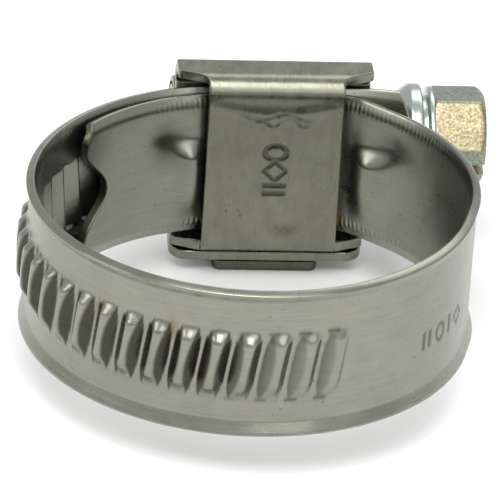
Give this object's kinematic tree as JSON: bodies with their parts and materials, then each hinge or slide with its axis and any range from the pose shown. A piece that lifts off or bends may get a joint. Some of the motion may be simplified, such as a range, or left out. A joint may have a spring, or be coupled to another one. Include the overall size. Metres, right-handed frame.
{
  "type": "hose clamp",
  "caption": "Worm-drive hose clamp: a stainless band with pressed thread ridges and flared edges, a saddle housing and a captive hexagon-head screw.",
  "frame": {"origin": "middle of the hose: on the loop's axis, half-way across the band", "axes": "+Z along the hose, +Y to the housing, +X along the screw to its head"},
  "size_m": [0.0368, 0.0413, 0.0172],
  "materials": {
    "stainless_band": "satin rolled stainless strip",
    "stainless_housing": "satin stamped stainless sheet",
    "plated_screw": "yellow-passivated zinc plating, grainy forged flats"
  },
  "bodies": {
    "root": {"saddle_strap": "stainless_housing", "housing_cap": "stainless_housing", "band_fixed_end": "stainless_band"},
    "screw": {"worm_screw": "plated_screw"},
    "tongue": {"band_tongue": "stainless_band"},
    "free_end": {"band_free_end": "stainless_band"},
    "tail": {"band_tail": "stainless_band"},
    "right_side": {"band_right": "stainless_band"},
    "front_right": {"band_front_right": "stainless_band"},
    "front_left": {"band_front_left": "stainless_band"},
    "left_side": {"band_left": "stainless_band"}
  },
  "joints": [
    {"name": "free_end_slide", "type": "slide", "parent": "root", "child": "free_end", "axis": [1, 0, 0], "range_m": [-0.00212, 0.00212]},
    {"name": "screw_turn", "type": "hinge", "parent": "root", "child": "screw", "pos_m": [0.0104, 0.01985, 0], "axis": [-1, 0, 0], "range_deg": [-361, 361]},
    {"name": "tongue_bend", "type": "hinge", "parent": "root", "child": "tongue", "pos_m": [-0.00246, 0.01464, 0], "axis": [0, 0, 1], "range_deg": [-2.52, 2.52]},
    {"name": "tail_bend", "type": "hinge", "parent": "free_end", "child": "tail", "pos_m": [0.00922, 0.0159, 0], "axis": [0, 0, 1], "range_deg": [-5.02, 5.02]},
    {"name": "shoulder_bend", "type": "hinge", "parent": "root", "child": "right_side", "pos_m": [0.00953, 0.01393, 0], "axis": [0, 0, 1], "range_deg": [-1.22, 1.22]},
    {"name": "right_bend", "type": "hinge", "parent": "right_side", "child": "front_right", "pos_m": [0.01484, -0.00625, 0], "axis": [0, 0, 1], "range_deg": [-1.98, 1.98]},
    {"name": "front_bend", "type": "hinge", "parent": "front_right", "child": "front_left", "pos_m": [-0.0046, -0.01543, 0], "axis": [0, 0, 1], "range_deg": [-2.21, 2.21]},
    {"name": "left_bend", "type": "hinge", "parent": "front_left", "child": "left_side", "pos_m": [-0.01609, 0.00058, 0], "axis": [0, 0, 1], "range_deg": [-0.81, 0.81]}
  ],
  "couplings": [
    {"joint": "screw_turn", "follows": "free_end_slide", "rad_per_m": 2963.8},
    {"joint": "tongue_bend", "follows": "free_end_slide", "rad_per_m": 20.582},
    {"joint": "tail_bend", "follows": "free_end_slide", "rad_per_m": -41.163},
    {"joint": "shoulder_bend", "follows": "free_end_slide", "rad_per_m": 9.8792},
    {"joint": "right_bend", "follows": "free_end_slide", "rad_per_m": -16.074},
    {"joint": "front_bend", "follows": "free_end_slide", "rad_per_m": -18.019},
    {"joint": "left_bend", "follows": "free_end_slide", "rad_per_m": -6.4472}
  ]
}
